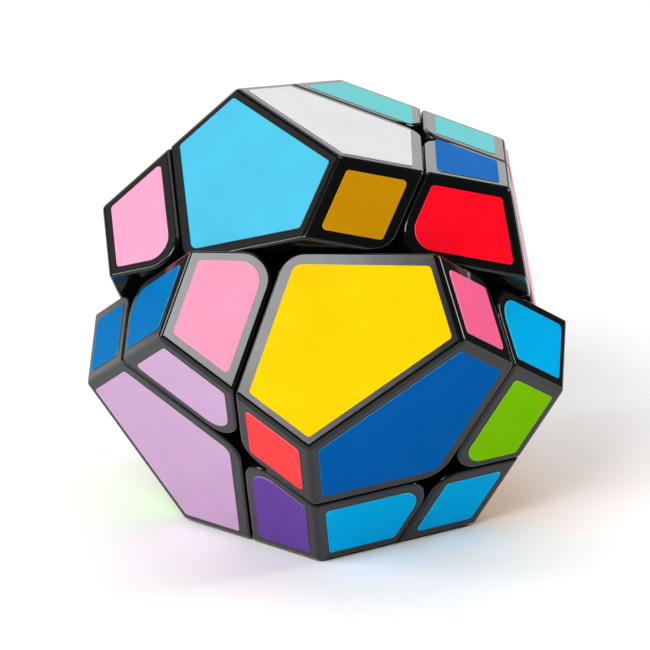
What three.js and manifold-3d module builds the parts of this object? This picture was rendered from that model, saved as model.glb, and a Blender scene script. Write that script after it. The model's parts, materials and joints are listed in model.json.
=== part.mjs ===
// Dodecahedron twisty puzzle: twelve pentagonal sides, cut by four planes through its centre.
// Every plane is square to one axle, and the half on either side of it can turn about that axle.
// The half above the cut of the first axle stands part-way through such a turn.
//
// Fourteen pieces show outside. Four corners are screwed to the core, each against a spring.
// The six centre pieces are hooked under those corners, and four free corners under the centres.
// Each piece is a hollow cap that closes on an inner part: a base on a stem, or a hooked foot.
//
// Millimetres, +Z up. The puzzle rests on one pentagon, and the origin is that pentagon's centre.

import * as THREE from "three";
import { ConvexGeometry } from "three/addons/geometries/ConvexGeometry.js";
import { mergeVertices } from "three/addons/utils/BufferGeometryUtils.js";
import Module from "manifold-3d";

const wasm = await Module();
wasm.setup();

// Driving dimensions, in millimetres unless the name says otherwise.
const ACROSS_FLATS = 70;
const TWIST_DEGREES = 28.2; // how far the upper half is turned at rest
const CUT_GAP = 0.3; // between the walls of neighbouring pieces
const TOUCH_GAP = 0.3; // between two parts that are glued, screwed or pressed together
const CAP_WALL = 2.2;
const CUT_EDGE_RADIUS = 4; // rounding of each piece where two cuts cross, at the outside

// The inner parts share spheres about the centre, so that every turn slides on them.
const CAP_RADIUS = 20; // underside of the caps
const HOOK_TOP_RADIUS = 19.5;
const HOOK_BOTTOM_RADIUS = 16.8;
const HOOK_REACH = 2.3; // how far a hook passes under the neighbour's cap
const PLUG_HEIGHT = 22.5; // top of a foot's plug inside its cap, from the centre
const CUP_HEIGHT = 26; // the same for a screwed corner's base, which holds the spring

// Axle dimensions: the heights are distances from the puzzle's centre.
const HUB_RADIUS = 7.5;
const POST_RADIUS = 4;
const POST_HEIGHT = 12.5;
const STEM_RADIUS = 3.1;
const BORE_RADIUS = 1.5;
const SPRING_SEAT_HEIGHT = 20.5;
const SPRING_CUP_RADIUS = 3.2;
const SCREW_TIP_HEIGHT = 6.5;
const SCREW_RADIUS = 1.2;
const SCREW_HEAD_RADIUS = 2.6;
const SCREW_HEAD_THICKNESS = 2.2;
const HEX_SOCKET_RADIUS = 1.15;
const HEX_SOCKET_DEPTH = 1.3;
const WASHER_RADIUS = 3;
const WASHER_THICKNESS = 0.6;
const SPRING_MEAN_RADIUS = 2.3;
const SPRING_WIRE_RADIUS = 0.3;
const SPRING_TURNS = 4.5;
const SPRING_HEIGHT = 4.8;

// How finely round shapes are divided.
const ROUND_SIDES = 24;
const SPHERE_DETAIL = 4;
const COARSE_DETAIL = 1; // of the spheres that nothing slides on
const ARC_STEPS = 8;
const HEXAGON_SIDES = 6;
const WIRE_STEPS_PER_TURN = 10;
const WIRE_CURVE_SEGMENTS = 3;
const SAME_POINT = 1e-4; // vertices nearer to each other than this are one

// Worked out from the dimensions above. A dodecahedron whose cube corners are (1, 1, 1) has its
// sides at INRADIUS_OF_UNIT and its fivefold axes at (0, GOLDEN, 1), so one scale sizes the puzzle.
const GOLDEN = (1 + Math.sqrt(5)) / 2;
const INRADIUS_OF_UNIT = (GOLDEN + 1) / Math.hypot(GOLDEN, 1);
const INRADIUS = ACROSS_FLATS / 2;
const UNIT = INRADIUS / INRADIUS_OF_UNIT;
const CROSSING_RADIUS = Math.SQRT2 * UNIT; // distance of the points where two cuts cross a side
const INSIDE_EDGE_RADIUS = CUT_EDGE_RADIUS - CAP_WALL / 2; // the same rounding inside a cap
const FAR = 4 * INRADIUS;
const WASHER_BOTTOM = SPRING_SEAT_HEIGHT + TOUCH_GAP + SPRING_HEIGHT + TOUCH_GAP;
const SCREW_HEAD_BOTTOM = WASHER_BOTTOM + WASHER_THICKNESS + TOUCH_GAP;

// The four axles point at every second cube corner. Each cut plane is square to its axle.
const AXLES = [
  { name: "pole", signs: [1, 1, 1] },
  { name: "rear", signs: [-1, -1, 1] },
  { name: "left", signs: [1, -1, -1] },
  { name: "right", signs: [-1, 1, -1] },
].map((axle) => ({ name: axle.name, signs: axle.signs, axis: direction(axle.signs) }));

const FREE_CORNERS = [
  { name: "base", signs: [-1, -1, -1] },
  { name: "left", signs: [1, -1, 1] },
  { name: "right", signs: [1, 1, -1] },
  { name: "rear", signs: [-1, 1, 1] },
];

const CENTRES = [
  { name: "upper_front", signs: [1, 0, 0] },
  { name: "upper_right", signs: [0, 1, 0] },
  { name: "upper_rear", signs: [0, 0, 1] },
  { name: "lower_base", signs: [-1, 0, 0] },
  { name: "lower_left", signs: [0, -1, 0] },
  { name: "lower_front", signs: [0, 0, -1] },
];

// Moulded plastic and metal finishes.
const CAP_FINISH = { color: 0x0c0c0e, roughness: 0.22, metalness: 0 };
const FOOT_FINISH = { color: 0x161618, roughness: 0.5, metalness: 0 };
const CORE_FINISH = { color: 0xd9d9d4, roughness: 0.5, metalness: 0 };
const STEEL_FINISH = { color: 0xb4b6ba, roughness: 0.3, metalness: 1 };

function direction(signs) {
  return new THREE.Vector3(...signs).normalize();
}

// A closed three.js geometry as a solid that can be joined and cut.
function solidOf(geometry) {
  const bare = geometry.clone();
  bare.deleteAttribute("normal");
  bare.deleteAttribute("uv");
  const merged = mergeVertices(bare, SAME_POINT);
  return new wasm.Manifold(
    new wasm.Mesh({
      numProp: 3,
      vertProperties: new Float32Array(merged.attributes.position.array),
      triVerts: new Uint32Array(merged.index.array),
    }),
  );
}

// A solid back as a three.js geometry with flat faces.
function geometryOf(solid) {
  const mesh = solid.getMesh();
  const shared = new THREE.BufferGeometry();
  shared.setAttribute("position", new THREE.BufferAttribute(new Float32Array(mesh.vertProperties), 3));
  shared.setIndex(new THREE.BufferAttribute(new Uint32Array(mesh.triVerts), 1));
  const geometry = shared.toNonIndexed();
  geometry.computeVertexNormals();
  return geometry;
}

function meshOf(name, solid, finish) {
  const mesh = new THREE.Mesh(geometryOf(solid), new THREE.MeshStandardMaterial(finish));
  mesh.name = name;
  return mesh;
}

function ball(radius, detail = SPHERE_DETAIL) {
  return solidOf(new THREE.IcosahedronGeometry(radius, detail));
}

// The dodecahedron whose sides are at this distance from the centre.
function dodecahedron(inradius) {
  const circumradius = (Math.sqrt(3) * inradius) / INRADIUS_OF_UNIT;
  return solidOf(new THREE.DodecahedronGeometry(circumradius));
}

// All points whose distance along the normal is more than the offset, as a large box.
function beyond(normal, offset) {
  const box = new THREE.BoxGeometry(FAR, FAR, FAR);
  box.translate(0, 0, FAR / 2 + offset);
  box.applyQuaternion(new THREE.Quaternion().setFromUnitVectors(new THREE.Vector3(0, 0, 1), normal));
  return solidOf(box);
}

// A round bar along an axis, from one distance from the centre to another.
function bar(axis, radius, from, to, sides = ROUND_SIDES) {
  const cylinder = new THREE.CylinderGeometry(radius, radius, to - from, sides);
  cylinder.translate(0, (from + to) / 2, 0);
  cylinder.applyQuaternion(new THREE.Quaternion().setFromUnitVectors(new THREE.Vector3(0, 1, 0), axis));
  return solidOf(cylinder);
}

// The directions in which two cuts cross at the edge of a piece, in order round the piece:
// three round a cube corner such as (1, 1, 1), four round a cube side such as (1, 0, 0).
function crossingsOf(signs) {
  const [x, y, z] = signs;
  if (x && y && z) return [[x, y, 0], [0, y, z], [x, 0, z]].map(direction);
  const axis = new THREE.Vector3(x, y, z);
  const side = new THREE.Vector3(z, x, y);
  const other = new THREE.Vector3().crossVectors(axis, side);
  return [side, other, side.clone().negate(), other.clone().negate()].map((step) =>
    axis.clone().add(step).normalize(),
  );
}

// The points of one rounded corner of a polygon, between its two neighbours.
function roundedCorner(before, corner, after, radius) {
  const toBefore = before.clone().sub(corner).normalize();
  const toAfter = after.clone().sub(corner).normalize();
  const half = toBefore.angleTo(toAfter) / 2;
  const reach = radius / Math.tan(half);
  const inward = toBefore.clone().add(toAfter).normalize();
  const centre = corner.clone().addScaledVector(inward, radius / Math.sin(half));
  const start = corner.clone().addScaledVector(toBefore, reach).sub(centre);
  const end = corner.clone().addScaledVector(toAfter, reach).sub(centre);
  const axis = new THREE.Vector3().crossVectors(start, end).normalize();
  const angle = start.angleTo(end);
  return Array.from({ length: ARC_STEPS + 1 }, (_, step) =>
    start.clone().applyAxisAngle(axis, (angle * step) / ARC_STEPS).add(centre),
  );
}

// The space of one piece between its cut planes, as a pyramid near the puzzle's centre with rounded
// edges and a flat top. Its sides keep this distance to the cut planes.
function sector(signs, distance, edgeRadius, top = FAR) {
  const axis = direction(signs);
  const crossings = crossingsOf(signs);
  const slant = Math.min(...AXLES.map((axle) => Math.abs(axle.axis.dot(axis))));
  const apex = axis.clone().multiplyScalar(distance / slant);
  const edgeLength = (top - apex.length()) / crossings[0].dot(axis);
  const corners = crossings.map((crossing) => crossing.clone().multiplyScalar(edgeLength));
  const radius = (edgeRadius * edgeLength) / CROSSING_RADIUS;
  const rim = corners.flatMap((corner, i) => {
    const before = corners[(i + corners.length - 1) % corners.length];
    const after = corners[(i + 1) % corners.length];
    return roundedCorner(before, corner, after, radius);
  });
  return solidOf(new ConvexGeometry([apex, ...rim.map((point) => point.add(apex))]));
}

// The outer shell of a piece, open towards the centre.
function cap(signs) {
  const outside = dodecahedron(INRADIUS).intersect(sector(signs, CUT_GAP / 2, CUT_EDGE_RADIUS));
  const inside = dodecahedron(INRADIUS - CAP_WALL).intersect(
    sector(signs, CUT_GAP / 2 + CAP_WALL, INSIDE_EDGE_RADIUS),
  );
  return outside.subtract(inside).subtract(ball(CAP_RADIUS));
}

// The hooked layer of a piece. Across each cut the piece on the axle's side reaches under the
// other one, so its hook ends beyond the cut, and the other's ends as much before it.
function hook(signs) {
  const axis = direction(signs);
  const layer = ball(HOOK_TOP_RADIUS).subtract(ball(HOOK_BOTTOM_RADIUS));
  return AXLES.reduce((solid, axle) => {
    const onAxleSide = axle.axis.dot(axis) > 0;
    const space = onAxleSide
      ? beyond(axle.axis, CUT_GAP / 2 - HOOK_REACH)
      : beyond(axle.axis.clone().negate(), CUT_GAP / 2 + HOOK_REACH);
    return solid.intersect(space);
  }, layer);
}

// The plug that closes a cap from below, up to a flat top.
function plug(signs, height) {
  const distance = CUT_GAP / 2 + CAP_WALL + TOUCH_GAP;
  const middle = (HOOK_TOP_RADIUS + HOOK_BOTTOM_RADIUS) / 2;
  return sector(signs, distance, INSIDE_EDGE_RADIUS, height).subtract(ball(middle, COARSE_DETAIL));
}

function foot(signs) {
  return hook(signs).add(plug(signs, PLUG_HEIGHT));
}

// A screwed corner's base has a stem that stands on the core, and a cup for the spring.
function base(axle) {
  const stem = bar(axle.axis, STEM_RADIUS, POST_HEIGHT + TOUCH_GAP, SPRING_SEAT_HEIGHT);
  const bore = bar(axle.axis, BORE_RADIUS, 0, FAR);
  const cup = bar(axle.axis, SPRING_CUP_RADIUS, SPRING_SEAT_HEIGHT, FAR);
  return hook(axle.signs).add(plug(axle.signs, CUP_HEIGHT)).add(stem).subtract(bore).subtract(cup);
}

// The core: a hub with a post and a blind screw hole on each axle.
function core() {
  const posts = AXLES.map((axle) => bar(axle.axis, POST_RADIUS, 0, POST_HEIGHT));
  const holes = AXLES.map((axle) => bar(axle.axis, BORE_RADIUS, SCREW_TIP_HEIGHT - TOUCH_GAP, FAR));
  const body = posts.reduce((solid, post) => solid.add(post), ball(HUB_RADIUS, COARSE_DETAIL));
  return holes.reduce((solid, hole) => solid.subtract(hole), body);
}

function axleScrew(axle) {
  const headTop = SCREW_HEAD_BOTTOM + SCREW_HEAD_THICKNESS;
  const socketBottom = headTop - HEX_SOCKET_DEPTH;
  const shank = bar(axle.axis, SCREW_RADIUS, SCREW_TIP_HEIGHT, socketBottom);
  const head = bar(axle.axis, SCREW_HEAD_RADIUS, SCREW_HEAD_BOTTOM, headTop);
  const socket = bar(axle.axis, HEX_SOCKET_RADIUS, socketBottom, FAR, HEXAGON_SIDES);
  return shank.add(head).subtract(socket);
}

function springWasher(axle) {
  const disc = bar(axle.axis, WASHER_RADIUS, WASHER_BOTTOM, WASHER_BOTTOM + WASHER_THICKNESS);
  return disc.subtract(bar(axle.axis, BORE_RADIUS, 0, FAR));
}

// The centre line of a spring that stands on its seat, wound about +Y.
class SpringLine extends THREE.Curve {
  getPoint(t, target = new THREE.Vector3()) {
    const angle = 2 * Math.PI * SPRING_TURNS * t;
    const bottom = SPRING_SEAT_HEIGHT + TOUCH_GAP + SPRING_WIRE_RADIUS;
    const height = bottom + t * (SPRING_HEIGHT - 2 * SPRING_WIRE_RADIUS);
    return target.set(SPRING_MEAN_RADIUS * Math.cos(angle), height, SPRING_MEAN_RADIUS * Math.sin(angle));
  }
}

function tensionSpring(axle) {
  const wireSection = new THREE.Shape().absarc(0, 0, SPRING_WIRE_RADIUS, 0, 2 * Math.PI);
  const wire = new THREE.ExtrudeGeometry(wireSection, {
    extrudePath: new SpringLine(),
    steps: Math.round(WIRE_STEPS_PER_TURN * SPRING_TURNS),
    curveSegments: WIRE_CURVE_SEGMENTS,
  });
  wire.applyQuaternion(new THREE.Quaternion().setFromUnitVectors(new THREE.Vector3(0, 1, 0), axle.axis));
  return solidOf(wire);
}

// The half that the first axle carries, and the half that stands still.
const upperHalf = new THREE.Group();
const lowerHalf = new THREE.Group();
const halfOf = (signs) => (direction(signs).dot(AXLES[0].axis) > 0 ? upperHalf : lowerHalf);

for (const axle of AXLES) {
  const half = halfOf(axle.signs);
  half.add(meshOf("screwed_corner_cap_" + axle.name, cap(axle.signs), CAP_FINISH));
  half.add(meshOf("screwed_corner_base_" + axle.name, base(axle), FOOT_FINISH));
  half.add(meshOf("tension_spring_" + axle.name, tensionSpring(axle), STEEL_FINISH));
  lowerHalf.add(meshOf("spring_washer_" + axle.name, springWasher(axle), STEEL_FINISH));
  lowerHalf.add(meshOf("axle_screw_" + axle.name, axleScrew(axle), STEEL_FINISH));
}
for (const corner of FREE_CORNERS) {
  const half = halfOf(corner.signs);
  half.add(meshOf("free_corner_cap_" + corner.name, cap(corner.signs), CAP_FINISH));
  half.add(meshOf("free_corner_foot_" + corner.name, foot(corner.signs), FOOT_FINISH));
}
for (const centre of CENTRES) {
  const half = halfOf(centre.signs);
  half.add(meshOf("centre_cap_" + centre.name, cap(centre.signs), CAP_FINISH));
  half.add(meshOf("centre_foot_" + centre.name, foot(centre.signs), FOOT_FINISH));
}
lowerHalf.add(meshOf("core", core(), CORE_FINISH));

upperHalf.setRotationFromAxisAngle(AXLES[0].axis, THREE.MathUtils.degToRad(TWIST_DEGREES));

// The axes of the standing puzzle, in the frame of the cube corners: the side that faces up, the
// direction from front to rear, and the one to the right.
const up = new THREE.Vector3(GOLDEN, 1, 0).normalize();
const rearward = new THREE.Vector3(0, 0, 1);
const rightward = new THREE.Vector3().crossVectors(rearward, up);

const puzzle = new THREE.Group();
puzzle.add(lowerHalf, upperHalf);
puzzle.setRotationFromMatrix(new THREE.Matrix4().makeBasis(rightward, rearward, up).transpose());
puzzle.position.z = INRADIUS;

const model = new THREE.Group();
model.add(puzzle);

export default model;
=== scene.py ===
"""Looks of the dodecahedron twisty puzzle: glossy black caps, vinyl stickers and soft studio light."""

import json
import math

import bmesh
import bpy
from mathutils import Matrix, Quaternion, Vector

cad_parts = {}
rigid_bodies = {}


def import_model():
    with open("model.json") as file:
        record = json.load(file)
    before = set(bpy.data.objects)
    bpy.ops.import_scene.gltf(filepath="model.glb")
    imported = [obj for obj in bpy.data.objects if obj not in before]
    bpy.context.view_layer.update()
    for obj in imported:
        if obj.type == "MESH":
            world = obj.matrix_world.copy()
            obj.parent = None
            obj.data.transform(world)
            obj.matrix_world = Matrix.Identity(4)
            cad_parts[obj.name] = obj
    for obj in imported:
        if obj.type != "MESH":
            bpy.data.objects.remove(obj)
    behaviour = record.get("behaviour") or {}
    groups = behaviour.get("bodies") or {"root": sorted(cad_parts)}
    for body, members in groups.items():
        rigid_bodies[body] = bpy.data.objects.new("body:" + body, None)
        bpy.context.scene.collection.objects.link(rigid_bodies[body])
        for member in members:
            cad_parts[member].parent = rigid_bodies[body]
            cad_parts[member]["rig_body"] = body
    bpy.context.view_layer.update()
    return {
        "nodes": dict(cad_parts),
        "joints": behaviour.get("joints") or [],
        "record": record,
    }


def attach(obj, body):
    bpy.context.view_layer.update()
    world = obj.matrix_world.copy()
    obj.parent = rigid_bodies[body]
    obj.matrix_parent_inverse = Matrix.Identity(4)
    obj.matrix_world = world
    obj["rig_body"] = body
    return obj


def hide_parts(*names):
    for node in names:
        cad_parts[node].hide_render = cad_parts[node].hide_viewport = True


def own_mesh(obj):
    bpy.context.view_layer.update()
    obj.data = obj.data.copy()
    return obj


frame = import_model()

MM = 0.001
GOLDEN = (1 + math.sqrt(5)) / 2

# The puzzle's centre is on the twist axis, and its resting side is at height 0. The corner with
# the pole axle turns about the twist axis, and the other three corners stay with the lower half.
TWIST = next(j for j in frame["joints"] if j["name"] == "upper_half_twist")
CENTRE = Vector(TWIST["pos_m"])
TWIST_AXIS = Vector(TWIST["axis"]).normalized()
PULLS = [j for j in frame["joints"] if j["name"].endswith("_pull")]
AXLES = [Vector(j["axis"]).normalized() for j in PULLS]
INRADIUS = CENTRE.z

# Stickers lie on the caps, and their tops are where the CAD caps' sides are.
STICKER_THICKNESS = 0.15 * MM
STICKER_SINK = 0.03 * MM
STICKER_RIM = 0.07 * MM
STICKER_CORNER = 0.7 * MM
CORNER_STEPS = 8
PLANE_TOLERANCE = 0.02 * MM
PARALLEL = math.cos(math.radians(1))
SAME_POINT = 0.001 * MM  # vertices nearer to each other than this are one
FLAT_ANGLE = math.radians(0.8)  # faces of a cap that meet at less than this are one
SMOOTH_ANGLE = math.radians(30)  # edges that turn by less than this are shaded smooth

# Distances from a cap's sharp outline to its sticker, at the puzzle's edges and at the cuts, and
# the sticker's rounding at the corner where two cuts cross. On side A it is no rounder there.
STICKER_FITS = {
    "large": {"edge": 1.8 * MM, "cut": 2.25 * MM, "crossing": 1.8 * MM},
    "side": {"edge": 2.05 * MM, "cut": 1.8 * MM, "crossing": 3.4 * MM},
    "kite": {"edge": 2.15 * MM, "cut": 2.05 * MM, "crossing": STICKER_CORNER},
}
SQUARE_CORNERED_SIDE = "A"

# Each screwed corner's spring: heights are distances from the centre. Its top end stands still.
SPRING_BOTTOM = 20.8 * MM
SPRING_TOP = 25.6 * MM
SPRING_MEAN_RADIUS = 2.3 * MM
SPRING_WIRE_RADIUS = 0.28 * MM
SPRING_TURNS = 4.5
SPRING_STEPS = 144
WIRE_SIDES = 12

# Rounding of a cap's edges: between two of the puzzle's sides, and along the cuts.
RIDGE_ROUNDING = 0.8 * MM
CUT_ROUNDING = 0.6 * MM
ROUNDING_SEGMENTS = 4
RIM_SEGMENTS = 2

# The twelve sides, by the direction each faces in the cube that the puzzle's axles span.
SIDES = {
    "A": (GOLDEN, 1, 0),
    "B": (GOLDEN, -1, 0),
    "C": (-GOLDEN, 1, 0),
    "D": (-GOLDEN, -1, 0),
    "E": (1, 0, GOLDEN),
    "F": (1, 0, -GOLDEN),
    "G": (-1, 0, GOLDEN),
    "H": (-1, 0, -GOLDEN),
    "J": (0, GOLDEN, 1),
    "K": (0, GOLDEN, -1),
    "L": (0, -GOLDEN, 1),
    "M": (0, -GOLDEN, -1),
}

# The inks' colours, in sRGB shares. mid_blue, sky, coral and deep_pink are blue, light_blue, red and
# pink again, in the tones that their sides show under this light: painted light and reflection.
VINYL = {
    "yellow": (1.0, 0.79, 0.0),
    "blue": (0.0, 0.38, 0.7),
    "mid_blue": (0.0, 0.41, 0.66),
    "red": (1.0, 0.03, 0.13),
    "coral": (1.0, 0.27, 0.28),
    "pink": (1.0, 0.59, 0.71),
    "deep_pink": (1.0, 0.41, 0.59),
    "lavender": (0.78, 0.64, 0.78),
    "teal": (0.42, 0.77, 0.78),
    "sky": (0.28, 0.69, 0.81),
    "light_blue": (0.0, 0.69, 0.93),
    "white": (0.84, 0.84, 0.85),
    "gold": (0.76, 0.53, 0.0),
    "green": (0.5, 0.79, 0.0),
    "purple": (0.39, 0.26, 0.59),
    "orange": (1.0, 0.42, 0.04),
}
EDGE_PALENESS = 0.35

# The colour on each side that a cap shows. As on any scrambled puzzle of this kind, a colour has
# one large sticker, one kite and two on corners: blue and mid_blue, light_blue and sky, red and
# coral, and pink and deep_pink are each one colour in two tones. The difference between the two
# tones of a pair is painted light: it is how light and reflections fall on their sides.
STICKERS = {
    "centre_cap_lower_front": {"F": "yellow", "H": "blue", "M": "coral", "K": "deep_pink"},
    "centre_cap_lower_left": {"M": "lavender", "L": "green", "B": "mid_blue", "D": "orange"},
    "centre_cap_lower_base": {"C": "gold", "D": "red", "H": "light_blue", "G": "lavender"},
    "screwed_corner_cap_left": {"F": "pink", "B": "mid_blue", "M": "lavender"},
    "screwed_corner_cap_right": {"K": "light_blue", "H": "green", "C": "orange"},
    "screwed_corner_cap_rear": {"G": "gold", "D": "white", "L": "red"},
    "free_corner_cap_base": {"M": "purple", "H": "light_blue", "D": "yellow"},
    "centre_cap_upper_front": {"B": "sky", "A": "white", "F": "gold", "E": "green"},
    "centre_cap_upper_right": {"K": "pink", "J": "purple", "A": "teal", "C": "yellow"},
    "centre_cap_upper_rear": {"E": "orange", "G": "teal", "J": "white", "L": "purple"},
    "screwed_corner_cap_pole": {"A": "teal", "E": "orange", "J": "yellow"},
    "free_corner_cap_right": {"F": "red", "A": "blue", "K": "white"},
    "free_corner_cap_left": {"B": "pink", "E": "gold", "L": "teal"},
    "free_corner_cap_rear": {"J": "green", "C": "lavender", "G": "purple"},
}


# Grain of the materials, as noise cells in a metre, from broad patches to fine marks.
PATCH_SCALE = 90
MARK_SCALE = 2600
MOTTLE_SCALE = 160
INK_GRAIN_SCALE = 5200
METAL_GRAIN_SCALE = 1800
FLOOR_FIBRE_SCALE = 40

# The mottle of an ink runs between these shares of its colour. The lift is added to the lighter
# one, so that the channels of a pure colour that are zero vary too.
INK_DARKEST = 0.93
INK_LIGHTEST = 1.05
INK_LIFT = 0.004

# The middle range of a noise, where nearly all of its values are.
NOISE_LOW = 0.3
NOISE_HIGH = 0.7

# Depth that a bump's full height stands for.
RIPPLE_DEPTH = 0.2 * MM
GRAIN_DEPTH = 0.02 * MM


def srgb_to_linear(colour):
    return [c / 12.92 if c <= 0.04045 else ((c + 0.055) / 1.055) ** 2.4 for c in colour]


def paler(colour):
    """The tint of a colour that its sticker's cut edge shows."""
    return [c + (1 - c) * EDGE_PALENESS for c in colour]


# ---------------------------------------------------------------- materials

def new_material(name):
    material = bpy.data.materials.new(name)
    material.use_nodes = True
    nodes = material.node_tree.nodes
    return material, nodes, material.node_tree.links, nodes["Principled BSDF"]


def noise_node(nodes, links, coordinates, scale, detail=3.0):
    noise = nodes.new("ShaderNodeTexNoise")
    noise.inputs["Scale"].default_value = scale
    noise.inputs["Detail"].default_value = detail
    links.new(coordinates, noise.inputs["Vector"])
    return noise.outputs["Fac"]


def ramp_node(nodes, links, factor, low, high):
    """A value that runs from low to high as the factor goes through its middle range."""
    ramp = nodes.new("ShaderNodeMapRange")
    ramp.inputs["From Min"].default_value = NOISE_LOW
    ramp.inputs["From Max"].default_value = NOISE_HIGH
    ramp.inputs["To Min"].default_value = low
    ramp.inputs["To Max"].default_value = high
    links.new(factor, ramp.inputs["Value"])
    return ramp.outputs["Result"]


def mixed_colour(nodes, links, factor, first, second):
    mix = nodes.new("ShaderNodeMix")
    mix.data_type = "RGBA"
    mix.inputs["A"].default_value = (*first, 1)
    mix.inputs["B"].default_value = (*second, 1)
    links.new(factor, mix.inputs["Factor"])
    return mix.outputs["Result"]


def bump_node(nodes, links, height, strength, distance, previous=None):
    bump = nodes.new("ShaderNodeBump")
    bump.inputs["Strength"].default_value = strength
    bump.inputs["Distance"].default_value = distance
    links.new(height, bump.inputs["Height"])
    if previous is not None:
        links.new(previous, bump.inputs["Normal"])
    return bump.outputs["Normal"]


def moulded_plastic(name, colour, worn_colour, roughness, specular):
    """Injection-moulded plastic: slow ripples, fine handling marks and patches of finger grease."""
    material, nodes, links, shader = new_material(name)
    place = nodes.new("ShaderNodeTexCoord").outputs["Object"]
    patches = noise_node(nodes, links, place, PATCH_SCALE)
    marks = noise_node(nodes, links, place, MARK_SCALE, detail=6)
    links.new(mixed_colour(nodes, links, marks, colour, worn_colour), shader.inputs["Base Color"])
    links.new(ramp_node(nodes, links, patches, roughness * 0.8, roughness * 1.25), shader.inputs["Roughness"])
    ripple = bump_node(nodes, links, patches, 0.1, RIPPLE_DEPTH)
    links.new(bump_node(nodes, links, marks, 0.015, GRAIN_DEPTH, ripple), shader.inputs["Normal"])
    shader.inputs["Specular IOR Level"].default_value = specular
    return material


def vinyl(name, colour):
    """Printed vinyl: even ink with a faint mottle, a fine grain and a low sheen."""
    material, nodes, links, shader = new_material(name)
    place = nodes.new("ShaderNodeTexCoord").outputs["Object"]
    mottle = noise_node(nodes, links, place, MOTTLE_SCALE)
    grain = noise_node(nodes, links, place, INK_GRAIN_SCALE, detail=2)
    ink = srgb_to_linear(colour)
    shade = [c * INK_DARKEST for c in ink]
    tint = [min(1.0, c * INK_LIGHTEST + INK_LIFT) for c in ink]
    links.new(mixed_colour(nodes, links, mottle, shade, tint), shader.inputs["Base Color"])
    links.new(ramp_node(nodes, links, grain, 0.36, 0.5), shader.inputs["Roughness"])
    links.new(bump_node(nodes, links, grain, 0.1, GRAIN_DEPTH), shader.inputs["Normal"])
    shader.inputs["Specular IOR Level"].default_value = 0
    shader.inputs["Coat Weight"].default_value = 0.4
    shader.inputs["Coat IOR"].default_value = 1.04
    shader.inputs["Coat Roughness"].default_value = 0.12
    return material


def brushed_metal(name, colour, roughness):
    """Steel with a fine even grain."""
    material, nodes, links, shader = new_material(name)
    place = nodes.new("ShaderNodeTexCoord").outputs["Object"]
    grain = noise_node(nodes, links, place, METAL_GRAIN_SCALE, detail=4)
    darker = [c * 0.8 for c in colour]
    links.new(mixed_colour(nodes, links, grain, darker, colour), shader.inputs["Base Color"])
    links.new(ramp_node(nodes, links, grain, roughness, roughness * 1.6), shader.inputs["Roughness"])
    links.new(bump_node(nodes, links, grain, 0.15, GRAIN_DEPTH), shader.inputs["Normal"])
    shader.inputs["Metallic"].default_value = 1
    return material


def pale_floor():
    """A matt floor that varies between two pale greys."""
    material, nodes, links, shader = new_material("pale_floor")
    place = nodes.new("ShaderNodeTexCoord").outputs["Object"]
    fibre = noise_node(nodes, links, place, FLOOR_FIBRE_SCALE)
    tone = mixed_colour(nodes, links, fibre, (0.9, 0.9, 0.9), (0.93, 0.93, 0.93))
    links.new(tone, shader.inputs["Base Color"])
    shader.inputs["Roughness"].default_value = 0.9
    return material


# ---------------------------------------------------------------- geometry of a cap

def object_from(bm, name):
    mesh = bpy.data.meshes.new(name)
    bm.to_mesh(mesh)
    bm.free()
    piece = bpy.data.objects.new(name, mesh)
    bpy.context.scene.collection.objects.link(piece)
    return piece


def clean_shell(node):
    """The CAD cap with its flat sides as whole polygons."""
    bm = bmesh.new()
    bm.from_mesh(frame["nodes"][node].data)
    bmesh.ops.remove_doubles(bm, verts=bm.verts, dist=SAME_POINT)
    bmesh.ops.dissolve_limit(bm, angle_limit=FLAT_ANGLE, verts=bm.verts, edges=bm.edges)
    bm.normal_update()
    return bm


def height_of(face):
    """How far the plane of a face is from the puzzle's centre."""
    return face.normal.dot(face.calc_center_median() - CENTRE)


def is_side(face):
    """True for a face that lies on one of the puzzle's twelve sides."""
    return abs(height_of(face) - INRADIUS) < PLANE_TOLERANCE


def is_cut_wall(face, axles):
    """True for a face that lies along one of the cuts, which are square to the axles."""
    return any(abs(face.normal.dot(axle)) > PARALLEL for axle in axles)


def outline(face, axles):
    """The straight edges of a side in order, each as (point, direction, kind, crossing): the kind
    is edge or cut, and crossing is True where the corner before the edge is a rounded crossing."""
    loops = list(face.loops)
    kinds = []
    for loop in loops:
        other = next(f for f in loop.edge.link_faces if f is not face)
        kinds.append("edge" if is_side(other) else "cut" if is_cut_wall(other, axles) else "round")
    edges = []
    for i, kind in enumerate(kinds):
        if kind != "round":
            first, second = loops[i].vert.co, loops[i].link_loop_next.vert.co
            edges.append((first, (second - first).normalized(), kind, kinds[i - 1] == "round"))
    return edges


def crossing_of(first, second, normal):
    """Where two lines in one plane meet. Each line is (point, direction)."""
    across = normal.cross(second[1])
    return first[0] + first[1] * ((second[0] - first[0]).dot(across) / first[1].dot(across))


def rounded_corner(before, corner, after, radius):
    """The arc that rounds a corner of a polygon off."""
    to_before = (before - corner).normalized()
    to_after = (after - corner).normalized()
    half = to_before.angle(to_after) / 2
    centre = corner + (to_before + to_after).normalized() * (radius / math.sin(half))
    start = corner + to_before * (radius / math.tan(half)) - centre
    end = corner + to_after * (radius / math.tan(half)) - centre
    axis = start.cross(end).normalized()
    turns = [start.angle(end) * step / CORNER_STEPS for step in range(CORNER_STEPS + 1)]
    return [centre + Quaternion(axis, turn) @ start for turn in turns]


def sticker_outline(face, kind, axles, crossing):
    """The rounded outline of the sticker on a side, a margin inside the side's sharp outline."""
    fit = STICKER_FITS[kind]
    edges = outline(face, axles)
    lines = [(point + face.normal.cross(way) * fit[side], way) for point, way, side, _ in edges]
    corners = [crossing_of(lines[i - 1], lines[i], face.normal) for i in range(len(lines))]
    points = []
    for i, corner in enumerate(corners):
        radius = crossing if edges[i][3] else STICKER_CORNER
        points += rounded_corner(corners[i - 1], corner, corners[(i + 1) % len(corners)], radius)
    return points


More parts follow.
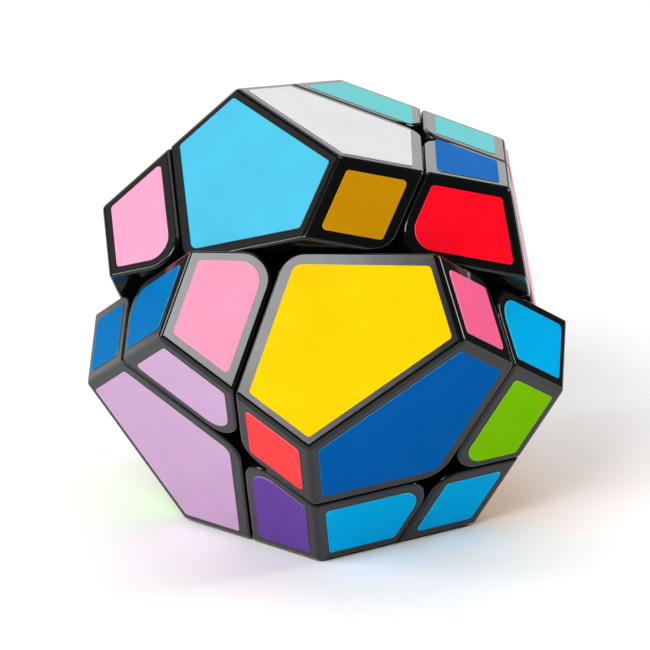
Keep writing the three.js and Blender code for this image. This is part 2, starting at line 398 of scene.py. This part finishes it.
def make_sticker(name, points, normal, ink, edge_ink):
    """A thin sheet of vinyl whose printed top is at the height of the CAD side."""
    bm = bmesh.new()
    top = [bm.verts.new(p) for p in points]
    depth = STICKER_THICKNESS + STICKER_SINK
    bottom = [bm.verts.new(p - normal * depth) for p in points]
    bm.faces.new(top)
    bm.faces.new(list(reversed(bottom)))
    for i in range(len(points)):
        j = (i + 1) % len(points)
        bm.faces.new([top[j], top[i], bottom[i], bottom[j]])
    rim = [e for e in bm.edges if all(v in top for v in e.verts)]
    bmesh.ops.bevel(bm, geom=rim, offset=STICKER_RIM, segments=RIM_SEGMENTS, profile=0.5, affect="EDGES")
    bmesh.ops.recalc_face_normals(bm, faces=bm.faces)
    for face in bm.faces:
        face.material_index = 0 if abs(face.normal.dot(normal)) > PARALLEL else 1
    sticker = object_from(bm, name)
    sticker.data.materials.append(ink)
    sticker.data.materials.append(edge_ink)
    return sticker


def make_shell(name, bm):
    """The cap itself: lowered by the stickers' thickness, with its outer edges rounded."""
    weight = bm.edges.layers.float.new("bevel_weight_edge")
    for edge in bm.edges:
        sides = [is_side(face) for face in edge.link_faces]
        if all(sides):
            edge[weight] = 1
        elif any(sides):
            edge[weight] = CUT_ROUNDING / RIDGE_ROUNDING
        edge.smooth = edge.calc_face_angle(0) < SMOOTH_ANGLE
    for face in bm.faces:
        face.smooth = True
    share = 1 - STICKER_THICKNESS / INRADIUS
    bmesh.ops.transform(bm, verts=bm.verts, space=Matrix.Translation(-CENTRE), matrix=Matrix.Scale(share, 4))
    shell = object_from(bm, name)
    rounding = shell.modifiers.new("rounding", "BEVEL")
    rounding.limit_method = "WEIGHT"
    rounding.width = RIDGE_ROUNDING
    rounding.segments = ROUNDING_SEGMENTS
    rounding.use_clamp_overlap = True
    rounding.harden_normals = True
    apply_modifiers(shell)
    return shell


def make_spring(name, axis):
    """A coil spring round an axle: a round wire along a helix, cut off flat at both ends."""
    across = axis.orthogonal().normalized()
    low, high = SPRING_BOTTOM + SPRING_WIRE_RADIUS, SPRING_TOP - SPRING_WIRE_RADIUS
    rings = []
    bm = bmesh.new()
    for step in range(SPRING_STEPS + 1):
        share = step / SPRING_STEPS
        outward = Quaternion(axis, 2 * math.pi * SPRING_TURNS * share) @ across
        middle = CENTRE + axis * (low + (high - low) * share) + outward * SPRING_MEAN_RADIUS
        ring = []
        for side in range(WIRE_SIDES):
            angle = 2 * math.pi * side / WIRE_SIDES
            spoke = outward * math.cos(angle) + axis * math.sin(angle)
            ring.append(bm.verts.new(middle + spoke * SPRING_WIRE_RADIUS))
        rings.append(ring)
    for first, second in zip(rings, rings[1:]):
        for i in range(WIRE_SIDES):
            j = (i + 1) % WIRE_SIDES
            bm.faces.new([first[i], first[j], second[j], second[i]])
    bm.faces.new(rings[0])
    bm.faces.new(rings[-1])
    bmesh.ops.recalc_face_normals(bm, faces=bm.faces)
    for face in bm.faces:
        face.smooth = len(face.verts) == 4
    return object_from(bm, name)


def apply_modifiers(piece):
    """Put a piece's modifiers into its mesh."""
    evaluated = piece.evaluated_get(bpy.context.evaluated_depsgraph_get())
    plain = piece.data
    piece.data = bpy.data.meshes.new_from_object(evaluated)
    piece.data.name = plain.name
    piece.modifiers.clear()
    bpy.data.meshes.remove(plain)


# ---------------------------------------------------------------- the twelve sides at rest

def standing_frame():
    """The rotation from the cube's frame to the standing puzzle's: a side faces up, and the
    cube's +Z points to the rear."""
    up = Vector((GOLDEN, 1, 0)).normalized()
    rear = Vector((0, 0, 1))
    return Matrix((rear.cross(up), rear, up))


def middle_of(faces):
    """The direction of a cap from the puzzle's centre."""
    return sum((f.normal * f.calc_area() for f in faces), Vector()).normalized()


def twist_at_rest(cap_direction, untwisted):
    """The angle about the twist axis from where a cap would be to where it is."""
    here, there = (v - TWIST_AXIS * v.dot(TWIST_AXIS) for v in (untwisted, cap_direction))
    return math.copysign(here.angle(there), here.cross(there).dot(TWIST_AXIS))


def side_name(normal, body_rotation):
    """The name of the side that faces this way once the upper half's turn is undone."""
    local = standing_frame().transposed() @ (body_rotation.transposed() @ normal)
    return max(SIDES, key=lambda side: Vector(SIDES[side]).normalized().dot(local))


def body_of(node):
    return frame["nodes"][node]["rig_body"]


# ---------------------------------------------------------------- build

shells = {node: clean_shell(node) for node in STICKERS}
upper_front = [f for f in shells["centre_cap_upper_front"].faces if is_side(f)]
rest_turn = twist_at_rest(middle_of(upper_front), standing_frame() @ Vector((1, 0, 0)))
UPPER_BODIES = {"upper_half", "pole_corner"}
STILL = Matrix.Identity(3)
TURNED = Matrix.Rotation(rest_turn, 3, TWIST_AXIS)

black = moulded_plastic(
    "black_gloss_plastic",
    colour=(0.0025, 0.0026, 0.003),
    worn_colour=(0.004, 0.004, 0.0045),
    roughness=0.12,
    specular=0.4,
)
inks = {colour: vinyl("vinyl_" + colour, VINYL[colour]) for colour in VINYL}
edge_inks = {colour: vinyl("vinyl_edge_" + colour, paler(VINYL[colour])) for colour in VINYL}

for node, bm in shells.items():
    body = body_of(node)
    rotation = TURNED if body in UPPER_BODIES else STILL
    axles = [rotation @ axle for axle in AXLES]
    place = node.replace("_cap", "")
    sides = sorted((f for f in bm.faces if is_side(f)), key=lambda f: -f.calc_area())
    for rank, face in enumerate(sides):
        kind = "side" if len(sides) == 3 else ("large" if rank < 2 else "kite")
        side = side_name(face.normal, rotation)
        crossing = STICKER_CORNER if side == SQUARE_CORNERED_SIDE else STICKER_FITS[kind]["crossing"]
        colour = STICKERS[node][side]
        points = sticker_outline(face, kind, axles, crossing)
        name = "sticker_%s_%s_%d" % (place, colour, rank + 1)
        sticker = make_sticker(name, points, face.normal, inks[colour], edge_inks[colour])
        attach(sticker, body)
    shell = make_shell("shell_" + place, bm)
    shell.data.materials.append(black)
    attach(shell, body)
    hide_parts(node)

INNER_FINISHES = {
    "inner_plastic": moulded_plastic(
        "black_inner_plastic",
        colour=(0.012, 0.012, 0.013),
        worn_colour=(0.03, 0.03, 0.032),
        roughness=0.45,
        specular=0.4,
    ),
    "core_plastic": moulded_plastic(
        "white_core_plastic",
        colour=(0.6, 0.6, 0.57),
        worn_colour=(0.72, 0.72, 0.7),
        roughness=0.45,
        specular=0.4,
    ),
    "screw_steel": brushed_metal("plated_screw_steel", colour=(0.62, 0.62, 0.64), roughness=0.25),
    "washer_steel": brushed_metal("washer_steel", colour=(0.68, 0.68, 0.69), roughness=0.3),
    "spring_steel": brushed_metal("spring_steel", colour=(0.55, 0.55, 0.57), roughness=0.22),
}
for pull in PULLS:
    corner = pull["name"].replace("_corner_pull", "")
    node = "tension_spring_" + corner
    axis = Vector(pull["axis"]).normalized()
    spring = make_spring("coil_spring_" + corner, axis)
    spring.data.materials.append(INNER_FINISHES["spring_steel"])
    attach(spring, body_of(node))
    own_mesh(spring)
    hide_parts(node)
for part in frame["record"]["subparts"]:
    if part["material_slot"] in INNER_FINISHES and part["material_slot"] != "spring_steel":
        node = frame["nodes"][part["node"]]
        node.data.materials.clear()
        node.data.materials.append(INNER_FINISHES[part["material_slot"]])

# ---------------------------------------------------------------- floor, light and camera

FLOOR_SIZE = 1.3
FLOOR_CELLS = 8
FLOOR_DROP = 0.05 * MM  # keeps the floor clear of the side that the puzzle stands on
ROOM_LIGHT = 0.06


def make_floor():
    bm = bmesh.new()
    bmesh.ops.create_grid(bm, x_segments=FLOOR_CELLS, y_segments=FLOOR_CELLS, size=FLOOR_SIZE / 2)
    bmesh.ops.translate(bm, verts=bm.verts, vec=(0, 0, -FLOOR_DROP))
    floor = object_from(bm, "floor")
    floor.data.materials.append(pale_floor())


def softbox(name, direction, distance, size, radiance):
    """A rectangular soft light that faces the puzzle's centre from one direction."""
    light = bpy.data.lights.new(name, "AREA")
    light.shape = "RECTANGLE"
    light.size, light.size_y = size
    light.energy = radiance * math.pi * light.size * light.size_y
    lamp = bpy.data.objects.new(name, light)
    bpy.context.scene.collection.objects.link(lamp)
    back = Vector(direction).normalized()
    lamp.location = CENTRE + back * distance
    lamp.rotation_mode = "QUATERNION"
    lamp.rotation_quaternion = back.to_track_quat("Z", "Y")


def make_world(strength):
    """A dim room for the reflections, in front of a white background."""
    world = bpy.data.worlds.new("studio")
    world.use_nodes = True
    nodes, links = world.node_tree.nodes, world.node_tree.links
    rays = nodes.new("ShaderNodeLightPath")
    level = nodes.new("ShaderNodeMapRange")
    level.inputs["To Min"].default_value = strength
    level.inputs["To Max"].default_value = 1
    links.new(rays.outputs["Is Camera Ray"], level.inputs["Value"])
    background = nodes["Background"]
    background.inputs["Color"].default_value = (1, 1, 1, 1)
    links.new(level.outputs["Result"], background.inputs["Strength"])
    bpy.context.scene.world = world


# Angles are in degrees, and the lens's focal length is in millimetres.
CAMERA_AZIMUTH = -12.64
CAMERA_ELEVATION = 19.53
CAMERA_ROLL = -1.0
CAMERA_DISTANCE = 0.8245
CAMERA_LENS = 264.5
NEAR_CLIP = 0.05
AIM_LEFT = 0.9 * MM
AIM_BELOW = 1.5 * MM


def make_camera():
    """A long lens in front of the puzzle, a little to its left and above it."""
    data = bpy.data.cameras.new("camera")
    data.lens = CAMERA_LENS
    data.clip_start = NEAR_CLIP
    camera = bpy.data.objects.new("camera", data)
    bpy.context.scene.collection.objects.link(camera)
    azimuth, elevation = math.radians(CAMERA_AZIMUTH), math.radians(CAMERA_ELEVATION)
    level = math.cos(elevation)
    back = Vector((math.sin(azimuth) * level, -math.cos(azimuth) * level, math.sin(elevation)))
    turn = back.to_track_quat("Z", "Y") @ Matrix.Rotation(math.radians(CAMERA_ROLL), 4, "Z").to_quaternion()
    camera.rotation_mode = "QUATERNION"
    camera.rotation_quaternion = turn
    camera.location = CENTRE + back * CAMERA_DISTANCE + turn @ Vector((-AIM_LEFT, -AIM_BELOW, 0))
    bpy.context.scene.camera = camera


make_floor()
make_world(ROOM_LIGHT)
softbox("key_light", direction=(-0.482, -0.574, 0.662), distance=0.95, size=(0.49, 0.36), radiance=12.5)
softbox("left_light", direction=(-0.9, 0.1, 0.38), distance=1.0, size=(0.25, 0.5), radiance=9)
softbox("right_light", direction=(0.903, -0.019, 0.43), distance=1.0, size=(0.25, 0.45), radiance=12)
softbox("top_light", direction=(0.1, 0.15, 1), distance=1.1, size=(0.9, 0.9), radiance=1.6)
softbox("backdrop_light", direction=(0.05, 0.9, 0.4), distance=1.8, size=(2.6, 1.35), radiance=1.45)
softbox("rear_left_light", direction=(-0.7, 0.45, 0.55), distance=1.0, size=(0.5, 0.5), radiance=0.5)
make_camera()
bpy.context.scene.view_settings.view_transform = "Standard"
